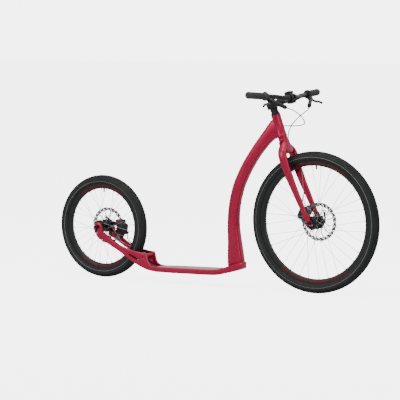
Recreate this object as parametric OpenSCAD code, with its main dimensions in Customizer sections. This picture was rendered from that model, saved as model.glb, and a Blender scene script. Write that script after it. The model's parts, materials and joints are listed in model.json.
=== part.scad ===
// Adult kick scooter (footbike): large front wheel, small rear wheel, low deck.
// +X is forwards, +Y is the rider's left, +Z is up. The origin is on the ground,
// half way between the front of the front tyre and the back of the rear tyre.

/* [Wheels] */
// Distance between the wheel centres
wheelbase = 1190; // [1185:1:1195]
// Outer radius of the 26 inch front tyre
front_r = 329.5; // [328:0.5:331]
// Outer radius of the 20 inch rear tyre
rear_r = 253; // [251:0.5:255]
// Width of both tyres
tyre_w = 50; // [47:1:52]
// Number of spokes in each wheel
spokes = 32; // [32]
// Diameter of the brake rotors
rotor_d = 180; // [180]

/* [Steering] */
// Angle of the steering axis from the ground
head_angle = 70; // [70:0.1:70.5]
// Reach of the stem, from the steering axis to the handlebar
stem_reach = 102.5; // [98:0.5:106]
// Length of each grip
grip_len = 130; // [115:1:132]
// Radius of each grip
grip_r = 16; // [15:0.5:17]
// Centre distance of the two fork blades
fork_gap = 106; // [104:1:108]

/* [Deck] */
// Width of the deck
deck_w = 114; // [108:1:118]
// Wall thickness of the deck and the frame tubes
wall = 2.5; // [2:0.1:3]
// Thickness of each rear stay
stay_t = 13; // [12:0.5:14]

/* [Brakes] */
// Gap from each pad to its rotor with the lever released
pad_gap = 0.35; // [0.35:0.01:0.4]
// Diameter of the brake hoses
hose_d = 5; // [4.6:0.1:5.2]

/* [Hidden] */
$fn = 48;

frame_red = "#a81f3a";
black = "#1b1b1d";
grip_grey = "#3a3b3a";
steel = "#b9bcc0";

// ---- derived places --------------------------------------------------------
total_len = front_r + wheelbase + rear_r;
rear_x = rear_r - total_len / 2;
front_x = rear_x + wheelbase;
head_x = 363;
head_z = 773;
bead_h = 50;
front_bead = front_r - bead_h;
rear_bead = rear_r - bead_h;

// ---- vector and sweep helpers ----------------------------------------------
function unit(v) = v / norm(v);
function catmull(a, b, c, d, t) =
  0.5 * (2*b + (c - a)*t + (2*a - 5*b + 4*c - d)*t*t + (3*b - a - 3*c + d)*t*t*t);
// A smooth curve through the points, with k steps between neighbours
function smooth(p, k) = let (n = len(p) - 1)
  [for (i = [0:n-1], j = [0:k-1])
    catmull(p[max(i-1, 0)], p[i], p[i+1], p[min(i+2, n)], j / k), p[n]];
function tangents(p) = let (n = len(p) - 1)
  [for (i = [0:n]) unit(p[min(i+1, n)] - p[max(i-1, 0)])];
// Carries the vector m along the tangents without twisting it
function carried(t, m, i=0) = i >= len(t) ? [] :
  let (v = unit(m - (m * t[i]) * t[i])) concat([v], carried(t, v, i + 1));
// Rounded-rectangle section with half sizes a and b and squareness q
function section(a, b, q, n) =
  [for (i = [0:n-1]) let (c = cos(360*i/n), s = sin(360*i/n))
    [a * sign(c) * pow(abs(c), 2/q), b * sign(s) * pow(abs(s), 2/q)]];
function ring(p, u, v, sec) = [for (q = sec) p + u*q.x + v*q.y];
function side_faces(n, r, s) =
  [for (i = [0:n-1]) let (j = (i+1) % n) each [[r*n+i, s*n+i, s*n+j], [r*n+i, s*n+j, r*n+j]]];

// Solid skin over rings of equal point count
module skin(rings) {
  n = len(rings[0]);
  m = len(rings);
  ends = [[for (i = [0:n-1]) i], [for (i = [n-1:-1:0]) (m-1)*n + i]];
  sides = [for (r = [0:m-2]) each side_faces(n, r, r+1)];
  polyhedron([for (r = rings) each r], concat(ends, sides));
}
// Hollow tube: the outer rings go out and the inner rings come back
module hollow_skin(outer, inner) {
  n = len(outer[0]);
  back = [for (i = [len(inner)-1:-1:0]) inner[i]];
  rings = concat(outer, back);
  m = len(rings);
  polyhedron([for (r = rings) each r], [for (r = [0:m-1]) each side_faces(n, r, (r+1) % m)]);
}
// Round hose along hand-placed points; first is a direction across its start
module hose(points, k, first) {
  p = smooth(points, k);
  t = tangents(p);
  u = carried(t, first);
  sec = section(hose_d/2, hose_d/2, 2, 8);
  skin([for (i = [0:len(p)-1]) ring(p[i], u[i], cross(t[i], u[i]), sec)]);
}
// Straight rod from p to q
module rod(p, q, r) {
  d = q - p;
  translate(p) rotate([0, acos(d.z / norm(d)), atan2(d.y, d.x)]) cylinder(r=r, h=norm(d));
}
module tube(r_out, r_in, h) difference() {
  cylinder(r=r_out, h=h);
  translate([0, 0, -1]) cylinder(r=r_in, h=h+2);
}
module both_sides() { children(); mirror([0, 1, 0]) children(); }
// Flat plate with its outline in X and Z, from y0 to y0 + t
module plate(outline, y0, t) translate([0, y0 + t, 0]) rotate([90, 0, 0])
  linear_extrude(t) polygon(outline);

// ---- frames of reference ---------------------------------------------------
// Z up the steering axis from the middle of the head tube, X forwards
module on_axis() translate([head_x, 0, head_z]) rotate([0, head_angle-90, 0]) children();
function axis_point(f, y, s) = [
  head_x + f*sin(head_angle) - s*cos(head_angle), y,
  head_z + f*cos(head_angle) + s*sin(head_angle)];
// Z along the wheel's axle, towards the rider's left
module at_wheel(x, z) translate([x, 0, z]) rotate([-90, 0, 0]) children();
module at_front() at_wheel(front_x, front_r) children();
module at_rear() at_wheel(rear_x, rear_r) children();

// ---- frame: main tube ------------------------------------------------------
// Stations up the tube: [x, z, half depth, half width, lean of the section]
main_stations = [
  [133.5, 108.6, 41, 26, -18], [130, 152, 38.5, 25.5, -4], [126, 210, 33, 24, 0],
  [120, 270, 29, 23, 0], [118.5, 317, 27, 22.5, 2], [122, 372, 26.5, 22, 8],
  [132, 428, 26.5, 22, 15], [148, 482, 26.5, 22, 20], [171, 533, 26.5, 22, 26],
  [200, 585, 26.5, 22, 31], [238, 641, 26.5, 21.5, 36], [282, 696, 28.5, 21, 40],
  [316, 732, 33, 20.5, 50], [343, 757, 42, 20, 60], [364, 770, 44, 19, 70]];
main_steps = 2;
main_curve = smooth(main_stations, main_steps);
function main_ring(st, t) = let (c = cos(st[4]), s = sin(st[4]))
  ring([st[0], 0, st[1]], [c, 0, -s], [0, 1, 0], section(st[2]-t, st[3]-t, 4, 24));
hose_port = [316, 0, 752];
module head_bore_clear(r) on_axis() translate([0, 0, -70]) cylinder(r=r, h=140);
head_tube_r = 22;
module main_tube() color(frame_red) difference() {
  hollow_skin([for (st = main_curve) main_ring(st, 0)],
    [for (st = main_curve) main_ring(st, wall)]);
  head_bore_clear(head_tube_r + 0.05);
  on_axis() translate([0, 0, head_bot-2]) cylinder(r=25, h=10.4);
  on_axis() translate([0, 0, head_top-6.3]) cylinder(r=23.2, h=12);
  translate(hose_port) rotate([-90, 0, 0]) cylinder(r=5.6, h=40);
}

head_bot = -54;
head_top = 50;
module head_tube() color(frame_red) on_axis() difference() {
  union() {
    translate([0, 0, head_bot]) cylinder(r=head_tube_r, h=head_top-head_bot);
    translate([0, 0, head_bot]) cylinder(r1=24.5, r2=23, h=8);
    translate([0, 0, head_top-6]) cylinder(r=22.8, h=6);
  }
  translate([0, 0, head_bot-1]) cylinder(r=17, h=head_top-head_bot+2);
}

// ---- frame: deck -----------------------------------------------------------
// Stations along the deck: [x, underside, top]
deck_stations = [
  [-300, 49.8, 74.2], [-290, 49.5, 74], [-40, 54.8, 80], [20, 55.5, 81], [50, 57.5, 84],
  [72, 61, 88.4], [90, 66, 94.1], [132, 78, 107.8], [165, 89, 118.5], [176, 94, 122.1]];
function deck_side(t, e) = let (n = len(deck_stations) - 1)
  concat([for (i = [0:n]) let (s = deck_stations[i])
      [s[0] + (i == 0 ? e : i == n ? -e : 0), s[1] + t]],
    [for (i = [n:-1:0]) let (s = deck_stations[i])
      [s[0] + (i == 0 ? e : i == n ? -e : 0), s[2] - t]]);
hose_y = 27;
// Outline from above, drawn in by e; it narrows to a blunt tip under the main tube
module deck_plan(e) linear_extrude(200) offset(delta=-e) polygon([[-310, -stay_root],
  [-290, -stay_root], [-255, -49], [-200, -deck_w/2], [118, -deck_w/2], [150, -44],
  [170, -29], [176, -22], [176, 22], [170, 29], [150, 44], [118, deck_w/2],
  [-200, deck_w/2], [-255, 49], [-290, stay_root], [-310, stay_root]]);
module deck() color(frame_red) difference() {
  intersection() {
    plate(deck_side(0, 0), -deck_w/2, deck_w);
    deck_plan(0);
  }
  intersection() {
    plate(deck_side(wall, 3), -deck_w/2, deck_w);
    deck_plan(wall);
  }
  translate([127, 0, 95]) cylinder(r=9.5, h=40);
  translate([-306, hose_y, 66.4]) rotate([0, 90, 0]) cylinder(r=3.7, h=12);
}

// ---- frame: rear stays -----------------------------------------------------
stay_lower = smooth([[-300.3, 50.2], [-343, 56], [-386, 71], [-443, 99], [-501, 135.5],
  [-558, 166], [-612, 194], [-638, 208]], 2);
stay_upper = smooth([[-606, 228], [-586, 219], [-547, 192.5], [-509, 170], [-475, 157],
  [-444, 150], [-402, 142], [-362, 139]], 2);
stay_front = smooth([[-356, 130], [-351, 108], [-345, 92], [-330, 79], [-300.3, 74]], 2);
stay_outline = concat(stay_lower, [[-644, 224]], stay_upper, stay_front);
stay_root = 43.5;
stay_splay = 2.3;
dropout_outline = [[-640, 208], [-647, 226], [-649, 250], [-646, 264], [-638, 273],
  [-626, 275], [-614, 269], [-606, 254], [-600, 226], [-612, 200]];
rear_old = 100;
rear_rotor_y = rear_old/2 - 11.4;
// Slot between the lower member and the upper gusset
module stay_slot() hull() {
  for (p = [[-402, 105], [-446, 126]]) translate([p.x, 0, p.y]) rotate([-90, 0, 0])
    cylinder(r=4.6, h=200, $fn=32);
}
module stay_side() difference() {
  union() {
    translate([-300.3, stay_root-stay_t, 0]) rotate([0, 0, -stay_splay])
      translate([300.3, 0, 0]) plate(stay_outline, 0, stay_t);
    plate(dropout_outline, deck_w/2 - stay_t, stay_t);
    children();
  }
  at_rear() cylinder(r=30, h=rear_old/2);
  at_rear() cylinder(r=5.05, h=90);
  plate([[rear_x-5.05, rear_r], [rear_x+5.05, rear_r], [rear_x-7, rear_r-60],
    [rear_x-18, rear_r-60]], 0, 100);
  stay_slot();
  translate([-300.3, 0, 0]) cube([60, 100, 100]);
  translate([-371, 0, 116]) rotate([-90, 0, 0]) cylinder(r=2.5, h=100);
}
pm_half = 37.1;
pm_off = 12;
pm_face = 61.8;
// Brake mount: a plate from the dropout to the two posts, in radial axes
module brake_tab(y0, y1, turn) rotate([0, -turn, 0]) {
  arc_r = 47;
  inner = [for (a = [-58:13:58]) arc_r * [cos(a), sin(a)]];
  plate(concat(inner, [[pm_face, 43.6], [pm_face, 30.6], [55, 22], [55, -22],
    [pm_face, -30.6], [pm_face, -43.6]]), y0, y1-y0);
}
rear_brake_turn = -8;
rear_tab_y = 44.6;
module left_stay() color(frame_red) difference() {
  stay_side() translate([rear_x, 0, rear_r]) {
    brake_tab(rear_tab_y, rear_tab_y+12, rear_brake_turn);
    rotate([0, -rear_brake_turn, 0]) translate([14, rear_tab_y, 4]) cube([38, 12, 20]);
  }
  translate([rear_x, rear_rotor_y+pm_off, rear_r]) post_bolts();
  translate([rear_x, 0, rear_r]) rotate([0, -rear_brake_turn, 0]) {
    translate([pm_face+0.1, 30, -44.6]) cube([34, 40, 89.2]);
    translate([pm_face+0.1, 30, -34]) cube([62, 40, 68]);
  }
}
module right_stay() color(frame_red) mirror([0, 1, 0]) stay_side();
// A pair of rods along the bolt lines of a post mount, in the frame's axes
module post_bolts() rotate([0, -rear_brake_turn, 0]) for (s = [-1, 1])
  translate([34, 0, s*pm_half]) rotate([0, 90, 0]) cylinder(r=2.5, h=60);

module rear_bridge() color(frame_red) difference() {
  translate([0, 0, 123]) linear_extrude(8)
    polygon([[-384, -33.5], [-358, -32.5], [-358, 32.5], [-384, 33.5]]);
  translate([-371, 0, 110]) cylinder(r=3.1, h=40);
}

// ---- headset ---------------------------------------------------------------
steerer_r = 14.3;
cup_profile = [[16.95, 0], [16.95, 10], [21.5, 10], [21.5, 20], [19.05, 20], [19.05, 12.5],
  [15.5, 12.5], [15.5, 0]];
module headset_cups() color(black) on_axis() {
  translate([0, 0, head_top-10]) rotate_extrude() polygon(cup_profile);
  translate([0, 0, head_bot+10]) mirror([0, 0, 1]) rotate_extrude() polygon(cup_profile);
}
bearing_h = 6.5;
module headset_bearings() color(steel) on_axis() {
  translate([0, 0, head_top+2.6]) tube(19, 15.2, bearing_h);
  translate([0, 0, head_bot-2.6-bearing_h]) tube(19, 15.2, bearing_h);
}
crown_top = -66;
module crown_race() color(steel) on_axis() difference() {
  union() {
    translate([0, 0, crown_top]) cylinder(r=19, h=1.6);
    translate([0, 0, crown_top]) cylinder(r=15.1, h=7);
  }
  translate([0, 0, crown_top-1]) cylinder(r=steerer_r+0.02, h=20);
}
stem_mid = 101;
stem_half = 20;
spacer_top = stem_mid - stem_half - 0.2;
module headset_spacers() color(black) on_axis() {
  difference() {
    union() {
      translate([0, 0, head_top+4]) cylinder(r=15.1, h=8);
      translate([0, 0, head_top+10.4]) cylinder(r1=20.5, r2=18.5, h=3);
    }
    translate([0, 0, head_top]) cylinder(r=steerer_r+0.02, h=20);
  }
  for (s = [head_top+13.5, head_top+22.2]) translate([0, 0, s])
    tube(17.6, steerer_r+0.02, spacer_top-head_top-22.3);
}
module steerer() color(steel) on_axis() translate([0, 0, -86])
  tube(steerer_r, 12, 86 + stem_mid + stem_half - 2);
module top_cap() color(black) on_axis() translate([0, 0, stem_mid+stem_half+0.1]) {
  difference() {
    cylinder(r1=17.5, r2=16, h=5);
    translate([0, 0, -1]) cylinder(r=3.2, h=10);
    translate([0, 0, 2]) cylinder(r=5.2, h=10);
  }
  difference() {
    union() {
      translate([0, 0, 2.05]) cylinder(r=5, h=4.5);
      translate([0, 0, -20]) cylinder(r=3, h=22.1);
    }
    translate([0, 0, 4]) cylinder(r=2.5, h=10, $fn=6);
  }
}

// ---- stem and handlebar ----------------------------------------------------
bar_clamp_r = 15.9;
bar_r = 11.1;
clamp_half = 21;
face_low = 25.5;
face_high = 31;
face_bolt_rows = [5-face_low, face_high-5.5];
module stem() color(black) on_axis() difference() {
  union() {
    translate([0, 0, stem_mid-stem_half]) cylinder(r=18.8, h=2*stem_half);
    translate([0, 0, stem_mid]) rotate([0, 90, 0]) cylinder(r1=17, r2=15, h=stem_reach-12);
    translate([stem_reach-15, -clamp_half, stem_mid-face_low])
      cube([14, 2*clamp_half, face_low+face_high]);
    translate([stem_reach-15, 0, stem_mid]) rotate([90, 0, 0])
      cylinder(r=20, h=2*clamp_half, center=true);
    translate([-27, -11, stem_mid-16]) cube([14, 22, 32]);
  }
  translate([0, 0, 40]) cylinder(r=steerer_r+0.02, h=120);
  translate([-40, -1.2, 40]) cube([40, 2.4, 120]);
  translate([stem_reach, 0, stem_mid]) rotate([90, 0, 0])
    cylinder(r=bar_clamp_r+0.02, h=80, center=true);
  translate([stem_reach-1, -40, 40]) cube([40, 80, 120]);
  for (s = [-10, 10]) translate([-20.5, 0, stem_mid+s]) rotate([90, 0, 0])
    cylinder(r=2.6, h=60, center=true);
  face_bolts(2.55, -13, 30);
}
module face_bolts(r, x, h) for (y = [-14, 14], s = face_bolt_rows)
  translate([stem_reach+x, y, stem_mid+s]) rotate([0, 90, 0]) cylinder(r=r, h=h);
module faceplate() color(black) on_axis() difference() {
  union() {
    translate([stem_reach, 0, stem_mid]) rotate([90, 0, 0])
      cylinder(r=20.5, h=2*clamp_half, center=true);
    for (s = [-face_low, face_high-11.5]) translate([stem_reach+0.8, -clamp_half, stem_mid+s])
      cube([7, 2*clamp_half, 11.5]);
  }
  translate([stem_reach, 0, stem_mid]) rotate([90, 0, 0])
    cylinder(r=bar_clamp_r+0.02, h=80, center=true);
  translate([stem_reach-59.2, -40, 40]) cube([60, 80, 120]);
  face_bolts(2.6, -5, 60);
  face_bolts(4.7, 7.7, 20);
  translate([stem_reach+10, -9, stem_mid-9]) cube([20, 18, 18]);
}
module socket_bolt(head_r, head_h, r, l) difference() {
  union() {
    cylinder(r=head_r, h=head_h);
    translate([0, 0, -l]) cylinder(r=r, h=l+0.1);
  }
  translate([0, 0, head_h-2]) cylinder(r=r, h=3, $fn=6);
}
module stem_bolts() color(steel) on_axis() {
  for (y = [-14, 14], s = face_bolt_rows) translate([stem_reach+7.9, y, stem_mid+s])
    rotate([0, 90, 0]) socket_bolt(4.2, 4.5, 2.5, 19);
  for (s = [-10, 10]) translate([-20.5, -s*1.105, stem_mid+s]) rotate([s*9, 0, 0])
    socket_bolt(4.2, 4.5, 2.5, 20);
}

bar_bend = [-10, 110, 6];
bar_out = 219;
bar_sweep = 7.5;
bar_rise = 3.3;
bar_mid = axis_point(stem_reach, 0, stem_mid);
// Y runs out along the left half of the bar from its bend
module at_bar(d) translate(bar_mid + bar_bend) rotate([bar_rise, 0, bar_sweep])
  translate([0, d, 0]) children();
module along_y(r, l) rotate([-90, 0, 0]) cylinder(r=r, h=l);
module handlebar() color(black) difference() {
  union() {
    translate(bar_mid) rotate([90, 0, 0]) cylinder(r=bar_clamp_r, h=76, center=true);
    both_sides() {
      translate(bar_mid + [0, 38, 0]) rotate([-90, 0, 0])
        cylinder(r1=bar_clamp_r, r2=bar_r, h=30);
      translate(bar_mid + [0, 67.9, 0]) sphere(r=bar_r+0.1);
      rod(bar_mid + [0, 68, 0], bar_mid + bar_bend, bar_r);
      at_bar(0.1) sphere(r=bar_r+0.1);
      at_bar(0) along_y(bar_r, bar_out);
    }
  }
  both_sides() at_bar(bar_out-100) along_y(9, 110);
}
module grip() color(grip_grey) at_bar(bar_out-grip_len) difference() {
  union() {
    along_y(grip_r-0.6, grip_len);
    along_y(grip_r+5, 5.5);
    translate([0, 5.5, 0]) rotate([-90, 0, 0]) cylinder(r1=grip_r+3, r2=grip_r, h=8);
    translate([0, grip_len-14, 0]) along_y(grip_r, 14);
  }
  translate([0, -1, 0]) along_y(bar_r+0.02, grip_len+2);
}
module left_grip() grip();
module right_grip() mirror([0, 1, 0]) grip();
module bar_end_plugs() color(black) both_sides() at_bar(bar_out+0.1) {
  rotate([-90, 0, 0]) cylinder(r1=grip_r-1.5, r2=grip_r-4, h=4);
  translate([0, -16, 0]) along_y(8.9, 16.5);
}

// ---- brake levers ----------------------------------------------------------
lever_at = 81.5;
lever_tilt = 45;
pivot = [30, 0, 0];
cyl_start = [33, -10, 0];
cyl_end = [64, -85, 0];
pin_r = 2;
// X runs from the bar's axis to the lever's pivot, Y outwards, Z along the pin
module at_lever() at_bar(lever_at) rotate([0, lever_tilt, 0]) children();
module lever_body() color(black) at_lever() difference() {
  union() {
    translate([0, -7, 0]) along_y(15, 14);
    translate([10, -7, -6.5]) cube([14, 14, 13]);
    translate([18, -15, -8.6]) cube([10, 22, 17.2]);
    translate([0, 0, -8.6] + pivot) cylinder(r=6.5, h=17.2);
    translate([26, -17, -8.6]) cube([14, 12, 17.2]);
    rod(cyl_start, cyl_end, 9);
    translate([12, -20, -4]) rotate([0, 0, -20]) cube([22, 10, 8]);
    rod(cyl_end - 0.12*(cyl_end-cyl_start), cyl_end + 0.04*(cyl_end-cyl_start), 10);
    rod(cyl_end, cyl_end + 0.15*(cyl_end-cyl_start), 4.2);
  }
  translate([0, -20, 0]) along_y(bar_r+0.02, 40);
  translate([22.5, -8, -5]) cube([40, 60, 10]);
  translate([0, 0, -20] + pivot) cylinder(r=pin_r+0.05, h=40);
  rod(cyl_start + [0.4, -1, 0]*8, cyl_end, 5);
}
module left_lever_body() lever_body();
module right_lever_body() mirror([0, 1, 0]) lever_body();
blade_outer = smooth([[34, 4], [45, 9], [53, 24], [56, 44], [61, 62], [68, 72]], 3);
blade_inner = smooth([[62, 77], [53, 66], [47.5, 46], [44, 26], [37, 15], [28, 4]], 3);
module lever_blade() color(black) at_lever() {
  translate([0, 0, -4]) linear_extrude(8) polygon(concat(blade_outer, blade_inner));
  translate([0, 0, -4.8] + pivot) cylinder(r=6, h=9.6);
  translate([0, 0, -8.5] + pivot) cylinder(r=pin_r, h=17);
  translate([65, 75, -5]) cylinder(r=4.6, h=10);
}
module left_lever_blade() lever_blade();
module right_lever_blade() mirror([0, 1, 0]) lever_blade();

// ---- fork ------------------------------------------------------------------
half_gap = fork_gap / 2;
// Stations down the left blade: [forwards, y, up the axis, half depth, half width]
blade_stations = [
  [0.5, half_gap-12, -117, 19.5, 11.5], [0, half_gap-5, -127, 20.5, 12],
  [-0.5, half_gap-0.5, -145, 21.5, 12.3], [-1, half_gap, -175, 21.5, 12.3],
  [-1, half_gap, -205, 20.5, 12], [4, half_gap, -285, 17, 11],
  [13, half_gap, -365, 14, 10], [18, half_gap, -415, 12, 9], [21, half_gap, -452, 11, 8]];
blade_curve = smooth(blade_stations, 2);
function blade_centre(st) = axis_point(st[0], st[1], st[2]);
forwards = axis_point(1, 0, 0) - axis_point(0, 0, 0);
module fork_leg() {
  p = [for (st = blade_curve) blade_centre(st)];
  t = tangents(p);
  u = [for (d = t) unit(forwards - (forwards*d)*d)];
  n = len(p) - 1;
  hollow_skin(
    [for (i = [0:n]) let (st = blade_curve[i])
      ring(p[i], u[i], cross(t[i], u[i]), section(st[3], st[4], 2.6, 20))],
    [for (i = [0:n]) let (st = blade_curve[i])
      ring(p[i], u[i], cross(t[i], u[i]), section(st[3]-wall, st[4]-wall, 2.6, 20))]);
}
front_old = 100;
front_rotor_y = front_old/2 - 11.4;
dropout_t = 6;
tip_outline = [[-17, 6], [-32, 26], [-24, 50], [-10, 46], [2, 18], [11, 6], [11, -8], [5, -14],
  [-7, -14], [-14, -8]];
module front_tip() difference() {
  union() {
    translate([front_x, 0, front_r]) plate(tip_outline, front_old/2, dropout_t);
    children();
  }
  at_front() cylinder(r=4.55, h=100);
  translate([front_x, 0, front_r]) plate([[-4.55, 0], [4.55, 0], [11, -40], [1, -40]], 40, 40);
}
front_brake_turn = 157;
front_tab_y = front_rotor_y + 6;
module left_fork_blade() color(frame_red) difference() {
  union() {
    fork_leg();
    front_tip() translate([front_x, 0, front_r]) front_tab();
  }
  translate([front_x, front_rotor_y+pm_off, front_r]) rotate([0, -front_brake_turn, 0])
    for (s = [-1, 1]) translate([38, 0, s*pm_half]) rotate([0, 90, 0]) cylinder(r=2.5, h=30);
  at_front_brake() {
    translate([pm_face+0.1, 4.7, -44.6]) cube([33, 14, 89.2]);
    translate([pm_face+0.1, -20, -34]) cube([62, 60, 68]);
  }
}
module front_tab() difference() {
  tab_plates();
  rotate([-90, 0, 0]) translate([0, 0, 30]) cylinder(r=10.5, h=20);
  rotate([-90, 0, 0]) translate([0, 0, front_face]) cylinder(r=11, h=10);
}
module tab_plates() rotate([0, -front_brake_turn, 0]) mirror([0, 0, 1]) {
  plate([[46, -43.6], [pm_face, -43.6], [pm_face, -30.6], [50, -24], [38, -10], [24, 8],
    [6, 8], [8, -8]], front_tab_y, 12);
  plate([[44, 30.6], [pm_face, 30.6], [pm_face, 41.5], [44, 41.5]], front_tab_y, 12);
}
module right_fork_blade() color(frame_red) mirror([0, 1, 0]) {
  fork_leg();
  front_tip();
}
module fork_crown() color(frame_red) difference() {
  union() {
    on_axis() translate([0, 0, crown_top-12]) cylinder(r=22, h=12);
    on_axis() translate([-20, -17, -108]) cube([40, 34, 31]);
    on_axis() hull() {
      translate([-19, -27, -116]) cube([38, 54, 20]);
      translate([-16.5, -33, -136]) cube([33, 66, 8]);
    }
    on_axis() both_sides() hull() {
      translate([0, 6, -91]) sphere(r=18, $fn=28);
      blade_mouth() translate([0, 0, -1.6]) linear_extrude(1) polygon(section(19.5, 11.5, 2.6, 20));
    }
  }
  on_axis() translate([0, 0, -86]) cylinder(r=steerer_r, h=40);
  on_axis() translate([0, 0, -97]) rotate([0, 90, 0]) cylinder(r=3.1, h=60, center=true);
  on_axis() both_sides() blade_mouth() translate([-40, -60, -0.6]) cube([80, 120, 120]);
}
// Z into the open top end of the left blade, along its first stretch
module blade_mouth() {
  p = [for (k = [0:1]) [blade_curve[k].x, blade_curve[k].y, blade_curve[k].z]];
  w = unit(p[1] - p[0]);
  u = unit([1, 0, 0] - w.x*w);
  v = cross(w, u);
  multmatrix([[u.x, v.x, w.x, p[0].x], [u.y, v.y, w.y, p[0].y], [u.z, v.z, w.z, p[0].z]])
    children();
}

// ---- axles and quick releases ----------------------------------------------
module axle_core(half, in_l, in_r, stub_r, lock_r) difference() {
  union() {
    translate([0, 0, -half]) cylinder(r=6, h=2*half);
    translate([0, 0, -half-5.5]) cylinder(r=stub_r, h=2*half+11);
    translate([0, 0, in_l]) cylinder(r=lock_r, h=half-in_l);
    translate([0, 0, -half]) cylinder(r=lock_r, h=half-in_r);
  }
  cylinder(r=2.8, h=400, center=true);
}
cam_shaft_r = 4.5;
// The skewer, its nut on the right, and the cam housing on the left
module skewer(face, turn) {
  translate([0, 0, -face-10]) cylinder(r=2.5, h=2*face+14);
  translate([0, 0, -face-0.1]) mirror([0, 0, 1]) difference() {
    cylinder(r1=9, r2=7.5, h=12);
    for (a = [0:60:300]) rotate([0, 0, a]) translate([11, 0, 3]) cylinder(r=3.2, h=20);
  }
  difference() {
    translate([0, 0, face+0.1]) cylinder(r=9.5, h=15);
    translate([0, 0, face+9]) rotate([0, 0, turn]) rotate([0, 90, 0])
      cylinder(r=cam_shaft_r+0.05, h=60, center=true);
  }
}
front_face = front_old/2 + dropout_t;
rear_face = deck_w/2;
module front_axle() color(steel) at_front() {
  axle_core(front_old/2, 38.4, 40.6, 4.5, 8.5);
  skewer(front_face, front_qr_turn);
}
module rear_axle() color(steel) at_rear() {
  axle_core(rear_old/2, 38.4, 40.6, 5, 9);
  skewer(rear_face, rear_qr_turn);
}
// The lever's shaft lies at this turn about the axle; the lever is at 90 degrees to it
front_qr_turn = 14;
rear_qr_turn = -40;
qr_len = 50;
module qr_lever(face, turn) color(black) translate([0, 0, face+9]) rotate([0, 0, turn]) {
  rotate([0, 90, 0]) translate([0, 0, -11]) cylinder(r=cam_shaft_r, h=27);
  difference() {
    union() {
      translate([13, 0, -3]) cylinder(r=6, h=6);
      translate([0, 0, -2]) linear_extrude(4)
        polygon([[9.8, 4], [18, 2], [16, -16], [6, -qr_len], [-6, -qr_len], [9.8, -16]]);
      translate([0, -qr_len, -2]) cylinder(r=7.5, h=4);
    }
    translate([0, -qr_len, -5]) cylinder(r=4, h=10);
    translate([-20, -12, -5]) cube([29.8, 30, 10]);
  }
}
module front_qr_lever() at_front() qr_lever(front_face, front_qr_turn);
module rear_qr_lever() at_rear() qr_lever(rear_face, rear_qr_turn);

// ---- disc brakes, in radial axes: X out from the hub, Y across, Z along the rim
rotor_t = 1.8;
rotor_r = rotor_d / 2;
pad_x = 80;
lining_t = 2.2;
plate_t = 1.8;
body_half = 27;
module at_front_brake() translate([front_x, front_rotor_y, front_r])
  rotate([0, -front_brake_turn, 0]) mirror([0, 0, 1]) children();
module at_rear_brake() translate([rear_x, rear_rotor_y, rear_r])
  rotate([0, -rear_brake_turn, 0]) children();
cavity = rotor_t/2 + pad_gap + lining_t + plate_t + 0.6;
// The hose fitting points along the rim towards side
module caliper(side) color(black) difference() {
  union() {
    translate([67, -13.5, -body_half]) cube([40, 27, 2*body_half]);
    translate([104, -12, -body_half+6]) cube([8, 24, 2*body_half-12]);
    for (y = [-16.5, 12]) translate([pad_x, y, 0]) rotate([-90, 0, 0]) cylinder(r=13.5, h=4.5);
    for (s = [-1, 1]) translate([76.2, pm_off-7, s*pm_half-7]) cube([11, 13, 14]);
    for (s = [-1, 1]) translate([76.2, 2, s*body_half-4.5]) cube([20, 11.5, 9]);
    translate([111, 8, side*14]) rotate([0, 90, 0]) cylinder(r=5, h=9);
    translate([115.5, 8, side > 0 ? 14 : -23]) cylinder(r=3.6, h=9);
  }
  translate([50, -cavity, -15]) cube([45, 2*cavity, 30]);
  translate([50, -2.4, -60]) cube([44, 4.8, 120]);
  translate([pad_x, 0, 0]) rotate([90, 0, 0]) cylinder(r=10.55, h=29, center=true);
  for (s = [-1, 1]) translate([70, pm_off, s*pm_half]) rotate([0, 90, 0])
    cylinder(r=3.2, h=60);
}
module adapter(top) color(black) difference() {
  union() {
    for (s = [-1, 1]) translate([62, 5, s < 0 ? -43.6 : 30.6])
      cube([14, 13, s < 0 ? 13 : top - 30.6]);
    translate([60, 5, -28]) cube([6, 13, 56]);
    translate([62, 5, -34]) cube([4, 13, 68]);
  }
  for (s = [-1, 1]) translate([40, pm_off, s*pm_half]) rotate([0, 90, 0])
    cylinder(r=3.1, h=60);
}
module caliper_bolts() color(steel) for (s = [-1, 1])
  translate([87.3, pm_off, s*pm_half]) rotate([0, 90, 0]) socket_bolt(5, 5, 2.45, 44);
// Pad with its backing plate and the piston behind it; side is 1 for outboard
module brake_pad(side) mirror([0, side < 0 ? 1 : 0, 0]) {
  y0 = rotor_t/2 + pad_gap;
  color("#4a4038") translate([pad_x-8, y0, -11]) cube([16, lining_t, 22]);
  color(steel) translate([pad_x-10, y0+lining_t, -14]) cube([24, plate_t, 28]);
  color(steel) translate([pad_x, y0+lining_t+plate_t, 0]) rotate([-90, 0, 0])
    tube(10.5, 7, 8);
}
module front_caliper() at_front_brake() caliper(1);
module rear_caliper() at_rear_brake() caliper(-1);
module front_caliper_adapter() at_front_brake() adapter(41.5);
module rear_caliper_adapter() at_rear_brake() adapter(43.6);
module front_caliper_bolts() at_front_brake() caliper_bolts();
module rear_caliper_bolts() at_rear_brake() caliper_bolts();
module front_inner_pad() at_front_brake() brake_pad(-1);
module front_outer_pad() at_front_brake() brake_pad(1);
module rear_inner_pad() at_rear_brake() brake_pad(-1);
module rear_outer_pad() at_rear_brake() brake_pad(1);

// ---- brake hoses -----------------------------------------------------------
// Rear hose outside the frame, from the right lever round the head tube
rear_loop = [[464.6, -104.2, 859.5], [470, -92, 855], [480, -72, 848], [491, -42, 830],
  [494, -8, 808], [487, 22, 789], [466, 41, 777], [436, 45, 772], [404, 41, 771],
  [372, 35, 771], [345, 31, 768], [326, 27, 761], [316, 20.6, 752]];
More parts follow.
